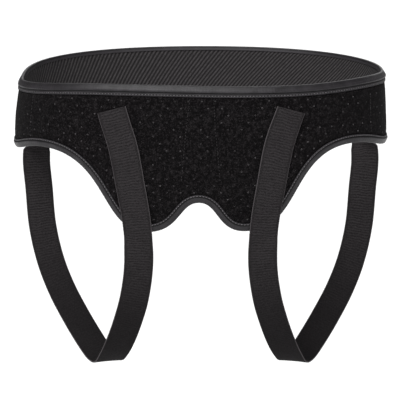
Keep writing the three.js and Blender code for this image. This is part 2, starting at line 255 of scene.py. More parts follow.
class StudioSizes(PropertyGroup):
    """Where the camera, the floor and the lights stand"""

    distance: number("Distance", 2.1, "From the camera to what it looks at", unit="LENGTH")
    elevation: number("Elevation", math.radians(10), "How far the camera looks down", unit="ROTATION")
    lens: number("Lens", 175.7, "Focal length in millimetres", min=20)
    aim_side: number("Aim Side", -0.75 * MM, "Sideways place of the aim", unit="LENGTH")
    aim_height: number("Aim Height", -97 * MM, "Height of the aim", unit="LENGTH")
    floor: number("Floor", -0.8, "Level of the floor", unit="LENGTH")
    sky: number("Sky", 0.12, "Strength of the light from all round", min=0)
    key: number("Key", 3.3, "Strength of the soft light above the front", min=0)
    fill: number("Fill", 1.0, "Strength of the low front light", min=0)
    back: number("Back", 1.1, "Strength of the light above the back", min=0)


# Places on the belt


class EdgeLine:
    """An edge of the belt, level at each row of its table and easing from row to row."""

    def __init__(self, plan, rows, start, reach):
        self.plan = plan
        table = np.array(rows, float)
        self.around, self.before, self.after = table[:, 0], table[:, 2], table[:, 3]
        self.heights = start + table[:, 1] * reach

    def __call__(self, around):
        share = self.plan.wrapped(around) / self.plan.half
        to = np.clip(np.searchsorted(self.around, share), 1, len(self.around) - 1)
        begin = to - 1
        goal = (share - self.around[begin]) / (self.around[to] - self.around[begin])
        leave, arrive = self.after[begin], 1 - self.before[to]
        low, high = np.zeros_like(goal), np.ones_like(goal)
        for _ in range(HALVINGS):
            t = (low + high) / 2
            ahead = 3 * (1 - t) ** 2 * t * leave + 3 * (1 - t) * t * t * arrive + t**3
            low, high = np.where(ahead < goal, t, low), np.where(ahead < goal, high, t)
        ease = low * low * (3 - 2 * low)
        return self.heights[begin] + (self.heights[to] - self.heights[begin]) * ease


class HipPlan:
    """The course of the belt round the hips, seen from above."""

    SAMPLES = 5760

    def __init__(self, sizes):
        self.a, self.b, self.n = sizes.hip_width / 2, sizes.hip_depth / 2, sizes.hip_exponent
        turn = np.linspace(-math.pi, math.pi, self.SAMPLES + 1)
        across, ahead = np.sin(turn), np.cos(turn)
        self.x = self.a * np.sign(across) * np.abs(across) ** (2 / self.n)
        self.y = -self.b * np.sign(ahead) * np.abs(ahead) ** (2 / self.n)
        walked = np.concatenate([[0], np.cumsum(np.hypot(np.diff(self.x), np.diff(self.y)))])
        self.girth = walked[-1]
        self.half = self.girth / 2
        self.walked = walked - self.half

    def wrapped(self, around):
        """The same place within half a girth of the front's middle."""
        return around - self.girth * np.floor((around + self.half) / self.girth)

    def at(self, around):
        """The place on the hip curve and the way straight out of it."""
        along = self.wrapped(around)
        x, y = np.interp(along, self.walked, self.x), np.interp(along, self.walked, self.y)
        out_x = np.sign(x) * (np.abs(x) / self.a) ** (self.n - 1) / self.a
        out_y = np.sign(y) * (np.abs(y) / self.b) ** (self.n - 1) / self.b
        size = np.hypot(out_x, out_y)
        return x, y, out_x / size, out_y / size

    def nearest(self, x, y):
        """The length round the girth of the places that lie nearest."""
        gaps = np.hypot(self.x[None, :] - x[:, None], self.y[None, :] - y[:, None])
        return self.walked[np.argmin(gaps, axis=1)]


def smooth(value, low, high):
    """0 below low and 1 above high, easing between them."""
    share = np.clip((value - low) / (high - low), 0, 1)
    return share * share * (3 - 2 * share)


def unit(vectors):
    """The same directions with a length of one."""
    return vectors / np.linalg.norm(vectors, axis=-1, keepdims=True)


class BeltForm:
    """The surfaces of the belt, from its sizes."""

    def __init__(self, sizes):
        self.sizes = sizes
        self.plan = HipPlan(sizes)
        self.rim = EdgeLine(self.plan, RIM_ROWS, sizes.rim_height, sizes.rim_rise)
        self.lower = EdgeLine(self.plan, LOWER_ROWS, -sizes.side_depth, -sizes.lobe_drop)
        self.wall = sizes.shell + sizes.gap + sizes.lining

    def point(self, around, z, distance):
        """A place on the wall, out from its reference face by the given distance."""
        s = self.sizes
        around, z, distance = np.broadcast_arrays(around, z, distance)
        x, y, out_x, out_y = self.plan.at(around)
        lean = s.flare * np.clip(-z / (s.rim_height + s.side_depth), -1, 0.5)
        tucked = np.maximum(0, (-z - s.side_depth) / s.lobe_drop)
        reach = lean - s.lobe_tuck * tucked**2 + distance
        shift = s.rim_shift * np.clip(z / s.rim_height, 0, 1)
        return np.stack([x + shift + out_x * reach, y + out_y * reach, z], axis=-1)

    def slope(self, edge, around):
        """How fast an edge rises round the belt."""
        return (edge(around + 0.5 * MM) - edge(around - 0.5 * MM)) / MM

    def puff_span(self, around):
        """Heights between which the outer fabric stands proud."""
        s = self.sizes
        above = (s.edge_tape + PUFF_MARGIN) * np.hypot(1, self.slope(self.lower, around))
        return self.rim(around) - s.rim_tape - PUFF_MARGIN, self.lower(around) + above

    def puff(self, around, z):
        """How far the outer fabric stands proud at a place."""
        top, bottom = self.puff_span(around)
        share = np.clip((z - bottom) / (top - bottom), 0, 1)
        return self.sizes.puff * np.sqrt(np.maximum(0, np.sin(math.pi * share)))

    def softness(self, around, z):
        """Slow, shallow unevenness of cloth over foam, nothing near the bindings."""
        waves = sum(np.sin(around * turns + z * rise + start) for turns, rise, start in SOFT_WAVES)
        return SOFT_HEIGHT * waves * (self.puff(around, z) / self.sizes.puff)

    def outer_lift(self, around, z):
        """How far the outer fabric stands proud, with its unevenness."""
        return self.puff(around, z) + self.softness(around, z)

    def pressed(self, up, out):
        """Distance out from the wall where a binding presses it thin. up is the height over its edge."""
        middle = -self.wall / 2
        return middle + (out - middle) * (1 - PRESSED_SHARE * smooth(up, PRESS_FROM, PRESS_TO))

    def wall_place(self, around, z, out):
        """A place of a layer of the wall, pressed thin towards its edges."""
        over_rim = (z - self.rim(around)) / np.hypot(1, self.slope(self.rim, around))
        under = (self.lower(around) - z) / np.hypot(1, self.slope(self.lower, around))
        return self.point(around, z, self.pressed(np.maximum(over_rim, under), out))

    def edge_place(self, edge, side, around, up, out):
        """A place near an edge: up is measured square to the edge, and out from the wall."""
        out = self.pressed(up, out)
        around, up, out = np.broadcast_arrays(around, up, out)
        slope = self.slope(edge, around)
        size = np.hypot(slope, 1)
        level, rise = -slope / size * side, side / size
        return self.point(around + level * up, edge(around) + rise * up, out)

    def strap_line(self, share):
        """Middle places of the right strap at shares of its length, with the turns of its width."""
        rows = np.array(STRAP_ROWS, float)
        rows[:, :3] *= [self.plan.a, self.plan.b, self.sizes.strap_depth]
        rows = np.concatenate([[2 * rows[0] - rows[1]], rows, [2 * rows[-1] - rows[-2]]])
        spans = len(STRAP_ROWS) - 1
        fine = np.linspace(0, spans, spans * STRAP_STEPS + 1)
        index = np.minimum(fine.astype(int), spans - 1)
        t = (fine - index)[:, None]
        line = spread_curve(*(rows[index + k, :3] for k in range(4)), t)
        turning = even_curve(*(rows[index + k, 3:] for k in range(4)), t)
        walked = walk(line)
        goal = np.asarray(share) * walked[-1]
        ahead = unit(sample(np.gradient(line, walked, axis=0), walked, goal))
        turns = np.radians(sample(turning, walked, goal))
        return sample(line, walked, goal), ahead, turns, walked[-1]

    def strap_length(self):
        """How long a strap is from its front end to its back end."""
        return self.strap_line(np.zeros(1))[3]

    def strap_places(self, share, across, lift, side):
        """Places on a strap's middle face: shares of its length by distances across it."""
        s = self.sizes
        centre, ahead, turns, _ = self.strap_line(share)
        level, rise = turns[:, 0], turns[:, 1]
        flat = np.cos(rise)
        wide = np.stack([np.cos(level) * flat, np.sin(level) * flat, np.sin(rise)], axis=-1)
        wide = unit(wide - ahead * np.sum(wide * ahead, axis=-1, keepdims=True))
        free = centre[:, None] + wide[:, None] * across[None, :, None]
        front = (centre[:, 1] < 0)[:, None]
        near = self.plan.nearest(centre[:, 0], centre[:, 1])[:, None]
        around = side * (near + np.where(front, 1, -1) * across[None] * flat[:, None])
        z = centre[:, 2:3] + across[None] * np.sin(rise)[:, None]
        edge = self.lower(around) - s.strap_free
        release = np.where(front, s.front_release, s.back_release)
        held = smooth(z, edge - release, edge)[..., None]
        clear = self.lower(around) + 2 * s.edge_inside
        step = (1 - smooth(z, clear, clear + s.step_run)) * (s.gap + s.tape)
        inside = -(self.wall + s.gap + s.curve_gap + step + s.strap / 2)
        seat = np.where(front, self.puff(around, z) + lift, inside)
        lying = self.point(around, z, seat) * [side, 1, 1]
        return (free + (lying - free) * held) * [side, 1, 1]


def spread_curve(a, b, c, d, t):
    """A centripetal curve from b to c."""
    da, db, dc = (np.sqrt(np.linalg.norm(q - p, axis=1))[:, None] for p, q in ((a, b), (b, c), (c, d)))
    leave = ((b - a) / da - (c - a) / (da + db) + (c - b) / db) * db
    arrive = ((c - b) / db - (d - b) / (db + dc) + (d - c) / dc) * db
    return hermite(b, c, leave, arrive, t)


def even_curve(a, b, c, d, t):
    """A plain curve from b to c."""
    return hermite(b, c, (c - a) / 2, (d - b) / 2, t)


def hermite(b, c, leave, arrive, t):
    """A curve from b to c with the given speeds at both."""
    bend = -3 * b + 3 * c - 2 * leave - arrive
    return b + leave * t + bend * t**2 + (2 * b - 2 * c + leave + arrive) * t**3


def walk(points):
    """How far along a line each of its points is."""
    return np.concatenate([[0], np.cumsum(np.linalg.norm(np.diff(points, axis=0), axis=1))])


def sample(values, walked, goal):
    """Values at the given distances along a line."""
    return np.stack([np.interp(goal, walked, values[:, k]) for k in range(values.shape[1])], axis=-1)


# Meshes


def volume_of(points, faces):
    """A measure of the volume inside quads, below zero where they are turned in."""
    a, b, c, d = (points[faces[:, k]] for k in range(4))
    return np.sum(a * (np.cross(b, c) + np.cross(c, d))) / 6


def new_object(name, points, faces=()):
    """An object in the scene from its points and faces."""
    mesh = bpy.data.meshes.new(name)
    mesh.from_pydata(points.tolist(), [], faces)
    obj = bpy.data.objects.new(name, mesh)
    bpy.context.scene.collection.objects.link(obj)
    return obj


def tube(name, points, cloth, caps=()):
    """A smooth object of closed sections, with every face turned out. cloth has the place of each
    point on the cloth, and one more section of them where the last section joins the first."""
    sections, count = points.shape[:2]
    i, k = np.arange(len(cloth) - 1)[:, None], np.arange(count)[None]
    ends = [(i, k), (i, (k + 1) % count), (i + 1, (k + 1) % count), (i + 1, k)]
    faces = np.stack([row % sections * count + place for row, place in ends], axis=-1).reshape(-1, 4)
    uv = np.stack([cloth[end] for end in ends], axis=2).reshape(-1, 4, 2)
    points = points.reshape(-1, 3)
    if volume_of(points, faces) < 0:
        faces, uv = faces[:, ::-1], uv[:, ::-1]
        caps = [cap[::-1] for cap in caps]
    obj = new_object(name, points, [*faces.tolist(), *caps])
    corners = np.zeros((len(obj.data.loops), 2))
    corners[: uv.size // 2] = uv.reshape(-1, 2)
    obj.data.uv_layers.new(name="cloth").data.foreach_set("uv", corners.ravel())
    obj.data.shade_smooth()
    return obj


def ring(name, points, u, v):
    """A closed tube round the belt. points is columns by section places, u one value for each
    column and one more for the seam, and v one row of values for each column."""
    v = np.concatenate([v, v[:1]])
    return tube(name, points, np.stack([np.broadcast_to(u[:, None], v.shape), v], axis=-1))


def strip(name, middle, side, half, run, across):
    """A flat strip: middle places in rows by columns, its half thickness for each column, and the
    distances along and across that its cloth is drawn with."""
    rows, columns = middle.shape[:2]
    out = unit(np.cross(np.gradient(middle, axis=0), np.gradient(middle, axis=1))) * side
    thick = out * half[None, :, None]
    section = np.concatenate([middle + thick, (middle - thick)[:, ::-1]], axis=1)
    count = 2 * columns
    wide = np.concatenate([across, across[::-1]])
    cloth = np.stack(np.broadcast_arrays(wide[None], run[:, None]), axis=-1)
    last = (rows - 1) * count
    caps = []
    for k in range(columns - 1):
        far = count - 1 - k
        caps.append((k, far, far - 1, k + 1))
        caps.append((last + k, last + k + 1, last + far - 1, last + far))
    obj = tube(name, section, cloth, caps)
    add_values(obj, "run", np.repeat(run, count))
    add_values(obj, "across", np.tile(wide, rows))
    return obj


def add_values(obj, name, values):
    """One number or vector for each corner point, for node trees to read."""
    values = np.asarray(values, float)
    kind, key = ("FLOAT", "value") if values.ndim == 1 else ("FLOAT_VECTOR", "vector")
    obj.data.attributes.new(name, kind, "POINT").data.foreach_set(key, values.ravel())


def place_points(name, points, along, away):
    """Loose places with the two directions that a stitch or a hole is laid by."""
    obj = new_object(name, points)
    add_values(obj, "along", along)
    add_values(obj, "away", away)
    return obj


# Nodes


class Shade:
    """A number that a node tree works out. Maths on it adds the nodes that it needs."""

    def __init__(self, nodes, socket):
        self.nodes = nodes
        self.socket = socket

    def maths(self, operation, *others):
        """The result of an operation on this number, and on others where it takes more."""
        return self.nodes.maths(operation, self, *others)

    def __add__(self, other):
        return self.maths("ADD", other)

    def __sub__(self, other):
        return self.maths("SUBTRACT", other)

    def __rsub__(self, other):
        return self.nodes.maths("SUBTRACT", other, self)

    def __mul__(self, other):
        return self.maths("MULTIPLY", other)

    def __truediv__(self, other):
        return self.maths("DIVIDE", other)

    __radd__ = __add__
    __rmul__ = __mul__

    def wave(self):
        """A smooth wave from 0 to 1 and back for each whole step of the number."""
        return (self * (2 * math.pi)).maths("COSINE") * 0.5 + 0.5

    def fraction(self):
        """What the number has past a whole one."""
        return self.maths("FRACT")

    def step(self, low, high):
        """0 below low and 1 above high, with a soft change between."""
        sockets = {"Value": self, "From Min": low, "From Max": high}
        node = self.nodes.node("ShaderNodeMapRange", {"interpolation_type": "SMOOTHSTEP"}, sockets)
        return Shade(self.nodes, node.outputs[0])

    def between(self, rise, fall):
        """1 from the end of the rise to the start of the fall, and 0 outside them."""
        return self.step(*rise) * (1 - self.step(*fall))


class Nodes:
    """A node tree built by short calls."""

    def __init__(self, tree):
        self.tree = tree

    def node(self, kind, settings=None, sockets=None):
        """Any node: its settings first, then the values or links of its sockets."""
        node = self.tree.nodes.new(kind)
        for name, value in (settings or {}).items():
            setattr(node, name, value)
        for name, value in (sockets or {}).items():
            self.set(node.inputs[name], value)
        return node

    def set(self, socket, value):
        """Gives a socket a plain value, or joins it to a shade, a socket or a node's first output."""
        if isinstance(value, Shade):
            value = value.socket
        elif isinstance(value, bpy.types.Node):
            value = value.outputs[0]
        if isinstance(value, bpy.types.NodeSocket):
            self.tree.links.new(value, socket)
        else:
            socket.default_value = value

    def maths(self, operation, *values):
        node = self.node("ShaderNodeMath", {"operation": operation}, dict(enumerate(values)))
        return Shade(self, node.outputs[0])


# Node trees that repeat a shape


class Tree(Nodes):
    """A Geometry Nodes tree with named sizes."""

    def __init__(self, name, sizes):
        super().__init__(bpy.data.node_groups.new(name, "GeometryNodeTree"))
        sockets = self.tree.interface
        sockets.new_socket(name="Geometry", in_out="INPUT", socket_type="NodeSocketGeometry")
        sockets.new_socket(name="Geometry", in_out="OUTPUT", socket_type="NodeSocketGeometry")
        sockets.new_socket(name="Material", in_out="INPUT", socket_type="NodeSocketMaterial")
        for size in sizes:
            sockets.new_socket(name=size, in_out="INPUT", socket_type="NodeSocketFloat")
        self.inputs = self.tree.nodes.new("NodeGroupInput").outputs

    def size(self, name):
        return Shade(self, self.inputs[name])

    def attribute(self, name, kind="FLOAT"):
        node = self.node("GeometryNodeInputNamedAttribute", {"data_type": kind}, {"Name": name})
        return Shade(self, node.outputs["Attribute"])

    def close(self, geometry):
        """Makes the copies real, gives them their finish and ends the tree."""
        real = self.node("GeometryNodeRealizeInstances", sockets={"Geometry": geometry})
        sockets = {"Geometry": real, "Material": self.inputs["Material"]}
        done = self.node("GeometryNodeSetMaterial", sockets=sockets)
        self.node("NodeGroupOutput", sockets={"Geometry": done})
        return self.tree


def copies_tree(name, sizes, shape):
    """A tree that lays a shape on each place, by the place's two directions."""
    tree = Tree(name, sizes)
    instance, scale = shape(tree)
    ways = {k: tree.attribute(way, "FLOAT_VECTOR") for k, way in enumerate(("along", "away"))}
    turn = tree.node("FunctionNodeAxesToRotation", {"primary_axis": "X", "secondary_axis": "Z"}, ways)
    sockets = {"Points": tree.inputs["Geometry"], "Instance": instance, "Rotation": turn, "Scale": scale}
    laid = tree.node("GeometryNodeInstanceOnPoints", sockets=sockets)
    return tree.close(tree.node("GeometryNodeSetShadeSmooth", sockets={0: laid}))


def stitch_shape(tree):
    """One laid stitch: a long bead, flat against the cloth."""
    bead = tree.node("GeometryNodeMeshUVSphere", sockets={"Segments": 6, "Rings": 5, "Radius": 0.5})
    width = tree.size("Thread Width")
    sockets = {"X": tree.size("Stitch Length"), "Y": width, "Z": width * 0.7}
    return bead, tree.node("ShaderNodeCombineXYZ", sockets=sockets)


def hole_shape(tree):
    """The ring of raised loops round one perforation."""
    circles = {}
    for k, (width, sides) in enumerate((("Hole Width", 9), ("Rim Width", 4))):
        sockets = {"Resolution": sides, "Radius": tree.size(width) * 0.5}
        circles[k] = tree.node("GeometryNodeCurvePrimitiveCircle", sockets=sockets)
    swept = tree.node("GeometryNodeCurveToMesh", sockets=circles)
    return swept, tree.node("ShaderNodeCombineXYZ", sockets={"X": 1.0, "Y": 1.0, "Z": 0.6})


def ribs_tree():
    """A tree that raises even ribs across a strip, and leaves its edges plain."""
    tree = Tree("webbing ribs", ["Rib Pitch", "Rib Height", "Selvage", "Half Width"])
    wave = (tree.attribute("run") / tree.size("Rib Pitch") * (2 * math.pi)).maths("COSINE")
    inward = tree.size("Half Width") - tree.attribute("across").maths("ABSOLUTE")
    mask = (inward / tree.size("Selvage")).step(0.8, 1.15)
    high = wave * (1.25 - wave * wave) * mask * tree.size("Rib Height") * tree.attribute("ribbed")
    sockets = {0: tree.node("GeometryNodeInputNormal"), "Scale": high}
    offset = tree.node("ShaderNodeVectorMath", {"operation": "SCALE"}, sockets)
    sockets = {"Geometry": tree.inputs["Geometry"], "Offset": offset}
    return tree.close(tree.node("GeometryNodeSetPosition", sockets=sockets))


def run_tree(obj, group, values):
    """Runs a tree on an object and turns the result into its plain mesh."""
    modifier = obj.modifiers.new("repeat", "NODES")
    modifier.node_group = group
    for item in group.interface.items_tree:
        if item.item_type == "SOCKET" and item.in_out == "INPUT" and item.name in values:
            modifier[item.identifier] = values[item.name]
    evaluated = obj.evaluated_get(bpy.context.evaluated_depsgraph_get())
    mesh = bpy.data.meshes.new_from_object(evaluated)
    obj.modifiers.remove(modifier)
    obj.data = mesh
    mesh.name = obj.name
    return obj


# Finishes


class Paint(Nodes):
    """A finish built from nodes on the main shader."""

    def __init__(self, name, **fixed):
        self.material = bpy.data.materials.new(name)
        self.material.use_nodes = True
        super().__init__(self.material.node_tree)
        self.shader = self.tree.nodes["Principled BSDF"]
        for socket, value in fixed.items():
            self.shader.inputs[socket.replace("_", " ")].default_value = value

    def cloth(self):
        """Distances in millimetres along and across the cloth."""
        layer = self.node("ShaderNodeUVMap", {"uv_map": "cloth"})
        parts = self.node("ShaderNodeSeparateXYZ", sockets={0: layer})
        return Shade(self, parts.outputs[0]) / MM, Shade(self, parts.outputs[1]) / MM

    def noise(self, scale, detail, roughness):
        """Uneven spots by the place on the object."""
        place = self.node("ShaderNodeTexCoord").outputs["Object"]
        sockets = {"Vector": place, "Scale": scale, "Detail": detail, "Roughness": roughness}
        return Shade(self, self.node("ShaderNodeTexNoise", sockets=sockets).outputs["Fac"])

    def mix(self, share, low, high):
        """A colour between two others."""
        low, high = (c if isinstance(c, bpy.types.NodeSocket) else (*c, 1.0) for c in (low, high))
        node = self.node("ShaderNodeMix", {"data_type": "RGBA"}, {0: share, 6: low, 7: high})
        return node.outputs[2]

    def finish(self, base, roughness=None, height=None, depth=0.0, strength=1.0):
        """Joins the colour, the roughness and the relief, whose depth is in metres."""
        self.set(self.shader.inputs["Base Color"], base)
        if roughness is not None:
            self.set(self.shader.inputs["Roughness"], roughness)
        if height is not None:
            sockets = {"Height": height, "Distance": depth, "Strength": strength}
            self.set(self.shader.inputs["Normal"], self.node("ShaderNodeBump", sockets=sockets))
        return self.material


def times(share, colour_value):
    """A colour made darker or lighter."""
    return tuple(share * part for part in colour_value)


def loop_fabric(colours, details, pitch):
    """Matt black brushed loops with a fuzzy grain, and painted shade that darkens the inside of each
    perforation.
    """
    paint = Paint("loop fabric", Specular_IOR_Level=0.04, Sheen_Weight=0.008, Sheen_Roughness=0.6)
    u, v = paint.cloth()
    along, up, hole_width = pitch / MM, details.hole_row / MM, details.hole / MM
    shift = ((v / up).maths("FLOOR") * 0.5).fraction()
    du = ((u / along + shift).fraction() - 0.5) * along
    dv = ((v / up).fraction() - 0.5) * up
    hole = 1 - (du * du + dv * dv).maths("SQRT").step(0.35 * hole_width, 0.6 * hole_width)
    fluff = paint.noise(620, 4, 0.75)
    clumps = paint.noise(230, 3, 0.6)
    fine = paint.noise(2400, 2, 0.6)
    light = fluff.step(0.5, 0.68) * 0.7 + clumps.step(0.45, 0.75) * 0.3
    light = light * (fine.step(0.3, 0.7) * 0.6 + 0.4)
    base = paint.mix(light, colours.fabric, colours.fabric_fluff)
    # Painted shade: the inside of each perforation is mixed nearly black.
    base = paint.mix(hole * 0.9, base, (0.002, 0.002, 0.002))
    height = fluff * 0.5 + clumps * 0.3 + fine * 0.2 - hole * 1.5
    return paint.finish(base, 0.93 + light * 0.05, height, 0.45 * MM, 0.9)


def ribbed_lining(colours, details, form):
    """Lining with slanting ribs whose slant turns slowly round the band."""
    paint = Paint("ribbed lining", Specular_IOR_Level=0.1, Sheen_Weight=0.02, Sheen_Roughness=0.6)
    u, v = paint.cloth()
    girth = form.plan.girth / MM
    ribs = round(girth / (details.lining_pitch / MM))
    slant = (u * (2 * math.pi / girth)).maths("SINE") * 0.42 + 0.68
    drift = paint.noise(40, 2, 0.5) * 1.2
    rib = ((u - v * slant + drift) * (ribs / girth)).wave()
    threads = (v * 1.4 + u * 0.3).wave()
    fleck = paint.noise(1500, 3, 0.6)
    uneven = paint.noise(380, 2, 0.6).step(0.3, 0.7)
    light = rib.step(0.1, 0.9) * (threads * 0.4 + 0.6)
    light = light * (fleck.step(0.3, 0.65) * 0.5 + 0.5) * (uneven * 0.4 + 0.6)
    base = paint.mix(light, colours.lining_low, colours.lining_high)
    height = rib * 0.75 + threads * 0.15 + fleck * 0.1
    return paint.finish(base, 0.86 - light * 0.1, height, 0.6 * MM)


def binding_tape(name, colours, width, flange):
    """Satin tape with a fine cross weave: a rolled part that shines, with a painted highlight along its
    middle, a groove beside it painted dark as shade, and a flat part with its stitches.
    """
    paint = Paint(name, Specular_IOR_Level=0.21, Sheen_Weight=0.01, Sheen_Roughness=0.4)
    u, v = paint.cloth()
    width, flange, tape = width / MM, flange / MM, colours.tape
    weft = (u / 0.62).wave()
    warp = (v / 0.8).wave()
    fleck = paint.noise(900, 3, 0.6)
    uneven = paint.noise(110, 3, 0.6)
    across = v + width
    flat = 1 - across.step(flange - 0.3, flange + 0.5)
    # The groove beside the flat part is mixed nearly black below: painted shade where the tape dips.
    groove = across.between((flange - 0.9, flange - 0.3), (flange + 0.2, flange + 0.9))
    lip = 1 - across.step(0.35, 0.9)
    inside = across.step(width + 4.4, width + 5.2)
    # A painted highlight: a band along the middle of the roll is mixed lighter below.
    painted_highlight = across.between((flange + 0.6, flange + 1.4), (width - 2.2, width - 0.6))
    light = weft * 0.3 + warp * 0.1 + fleck * 0.3 + uneven.step(0.3, 0.7) * 0.3
    base = paint.mix(light.step(0.15, 0.85), times(0.5, tape), times(1.6, tape))
    parts = ((painted_highlight * light * 0.45, 2.6), (groove * 0.9, 0.1), (lip * 0.6, 2.5), (inside * 0.6, 2.2))
    for share, tint in parts:
        base = paint.mix(share, base, times(tint, tape))
    height = weft * 0.5 + warp * 0.2 + fleck * 0.3
    return paint.finish(base, 0.34 + fleck * 0.12 + flat * 0.2 + groove * 0.3, height, 0.08 * MM, 0.7)


def ribbed_webbing(colours, details, half_width, low):
    """Elastic webbing: light ribs, dark grooves and flat, darker edges. Between the two lengths along it
    in low, where it turns under, it is painted darker with fainter ribs: painted shade."""
    paint = Paint("ribbed webbing", Specular_IOR_Level=0.03, Sheen_Weight=0.004, Sheen_Roughness=0.5)
    u, v = paint.cloth()
    start, end, selvage = low[0] / MM, low[1] / MM, details.selvage / MM
    crooked = paint.noise(90, 3, 0.6) * 1.8
    rib = (v / (details.rib_pitch / MM) + crooked).wave()
    inward = half_width / MM - u.maths("ABSOLUTE")
    inner = inward.step(selvage * 0.8, selvage * 1.15)
    edge = inward.step(0.2, 0.9)
    warp = (u / 0.9).wave()
    weft = (v / 0.8).wave()
    fleck = paint.noise(1300, 3, 0.6)
    uneven = paint.noise(60, 2, 0.5)
    # Painted shade where the strap turns under: there the colour is mixed darker and the ribs fainter.
    turn = v.between((start, start + 150), (end - 150, end))
    grain = paint.noise(800, 3, 0.7).step(0.35, 0.68)
    ribbed = rib.step(0.1, 0.9) * 0.6 * inner * (1 - turn * 0.7) + 0.1
    light = (ribbed + grain * 0.85) * (warp * 0.3 + 0.7)
    light = light * (fleck.step(0.3, 0.65) * 0.4 + 0.6) * (uneven * 0.5 + 0.75)
    base = paint.mix(light, colours.webbing_low, colours.webbing)
    base = paint.mix(turn * 0.6, base, times(0.7, colours.webbing_low))
    base = paint.mix((1 - edge) * 0.65, base, times(3, colours.webbing))
    height = warp * 0.4 + weft * 0.3 * inner + fleck * 0.3
    return paint.finish(base, 0.78 - light * 0.14, height, 0.12 * MM, 0.9)


def hook_tape(colours):
    """Woven ground with close rows of small stiff hooks."""
    paint = Paint("hook tape", Specular_IOR_Level=0.2)
    u, v = paint.cloth()
    hooks = (u / 1.3).wave() * (v / 1.6).wave()
    fleck = paint.noise(1500, 2, 0.5)
    base = paint.mix(hooks * (fleck * 0.4 + 0.6), times(0.6, colours.hook), times(2.6, colours.hook))
    return paint.finish(base, 0.6 - hooks * 0.15, hooks * 0.8 + fleck * 0.2, 0.5 * MM)


def sewing_thread(name, thread):
    """Twisted thread."""
    paint = Paint(name, Specular_IOR_Level=0.2)
    fleck = paint.noise(2600, 2, 0.6)
    base = paint.mix(fleck.step(0.3, 0.7), times(0.55, thread), times(1.35, thread))
    return paint.finish(base, 0.7 - fleck * 0.15, fleck, 0.08 * MM)


def perforation_loops(colours):
    """Loops round the perforations, painted light grey as the glint of their small dimples, brighter in some
    than in others.
    """
    paint = Paint("perforation loops", Specular_IOR_Level=0.1)
    some = paint.noise(75, 1, 0.5).step(0.38, 0.62)
    fleck = paint.noise(2600, 2, 0.6)
    # Painted glint: the loops are mixed from dark fabric up to the light grey of the hole rim colour.
    base = paint.mix(some * (fleck * 0.5 + 0.5), times(3, colours.fabric), colours.rim)
    return paint.finish(base, 0.9, fleck, 0.08 * MM)


def studio_floor(colours):
    """Plain pale paper with a very faint grain."""
    paint = Paint("studio floor", Specular_IOR_Level=0.0, Roughness=1.0)
    return paint.finish(paint.mix(paint.noise(30, 2, 0.5), times(0.992, colours.floor), colours.floor))


def studio_screen():
    """White that shows as it is and needs no light."""
    white = (1, 1, 1, 1)
    paint = Paint("studio screen", Specular_IOR_Level=0.0, Emission_Color=white, Emission_Strength=1.0)
    return paint.material


# Steps of the making


def belt_form(context):
    """The surfaces of the belt by the sizes in the sidebar."""
    return BeltForm(context.scene.belt_sizes)


def dress(obj, material, nodes=()):
    """Gives a piece its finish and its place on the belt, as it sits on the wearer, and hides the solids that
    it stands for.
    """
    if material is not None:
        obj.data.materials.clear()
        obj.data.materials.append(material)
    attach(obj, "root")
    if nodes:
        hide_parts(*nodes)


def wall_columns(form, count):
    """Places spaced evenly round the belt, from the middle of its back."""
    return -form.plan.half + form.plan.girth * np.arange(count) / count


def declare_wall(form):
    """Works out the height of the band from its lowest edge to its highest rim, and keeps nothing."""
    around = wall_columns(form, 360)
    tall = float(np.max(form.rim(around)) - np.min(form.lower(around)))


class BELT_OT_outer_fabric(Operator):
    """Sew the outer wall of the band and the front panel, proud between its bindings"""

    bl_idname = "belt.outer_fabric"
    bl_label = "Outer Fabric"

    COLUMNS = 720
    ROWS = 44
    INNER_ROWS = 8

    def execute(self, context):
        form = belt_form(context)
        around = wall_columns(form, self.COLUMNS)[:, None]
        top, bottom = form.puff_span(around)
        share = (1 - np.cos(np.linspace(0, math.pi, self.ROWS))) / 2
        between = top + (bottom - top) * share[None]
        from_rim, from_low = form.rim(around) - EDGE_ROWS, form.lower(around) + EDGE_ROWS
        outer = np.concatenate([from_rim, between, from_low[:, ::-1]], axis=1)
        low, high = from_low[:, -1:], from_rim[:, -1:]
        middle = low + (high - low) * np.linspace(0, 1, self.INNER_ROWS)[None, 1:-1]
        inner = np.concatenate([from_low, middle, from_rim[:, ::-1]], axis=1)
        outside = form.wall_place(around, outer, form.outer_lift(around, outer))
        inside = form.wall_place(around, inner, -form.sizes.shell)
        points = np.concatenate([outside, inside], axis=1)
        u = np.append(around[:, 0], form.plan.half)
        fabric = ring("outer_fabric", points, u, np.concatenate([outer, inner], axis=1))
        details = context.scene.belt_details
        material = loop_fabric(context.scene.belt_colours, details, hole_pitch(form, details))
        dress(fabric, material, ["outer_shell"])
        return {"FINISHED"}


def hole_pitch(form, details):
    """Distance between perforations, with a whole number of them round the band."""
    return form.plan.girth / round(form.plan.girth / details.hole_pitch)


class BELT_OT_perforations(Operator):
    """Set a ring of raised loops round each perforation of the outer fabric"""

    bl_idname = "belt.perforations"
    bl_label = "Perforations"

    # The lowest row and the one past the highest, counted from the hip line, and how far the
    # perforations keep from the bindings.
    ROWS = (-20, 12)
    MARGIN = 1.5 * MM

    def execute(self, context):
        form, details = belt_form(context), context.scene.belt_details
        pitch = hole_pitch(form, details)
        columns = np.arange(round(form.plan.girth / pitch))
        row, column = (part.ravel() for part in np.meshgrid(np.arange(*self.ROWS), columns))
        z = (row + 0.5) * details.hole_row
        around = form.plan.wrapped((column + 0.5 - 0.5 * (row % 2)) * pitch)
        top, bottom = form.puff_span(around)
        keep = (z < top - self.MARGIN) & (z > bottom + self.MARGIN)
        around, z = around[keep], z[keep]
        lift = form.outer_lift(around, z)
        spot = form.point(around, z, lift)
        along = unit(form.point(around + MM, z, lift) - spot)
        away = unit(form.point(around, z, lift + MM) - spot)
        holes = place_points("perforation_rims", spot, along, away)
        values = {"Hole Width": details.hole, "Rim Width": details.hole_rim}
        group = copies_tree("perforations", values, hole_shape)
        run_tree(holes, group, {**values, "Material": perforation_loops(context.scene.belt_colours)})
        dress(holes, None)
        return {"FINISHED"}


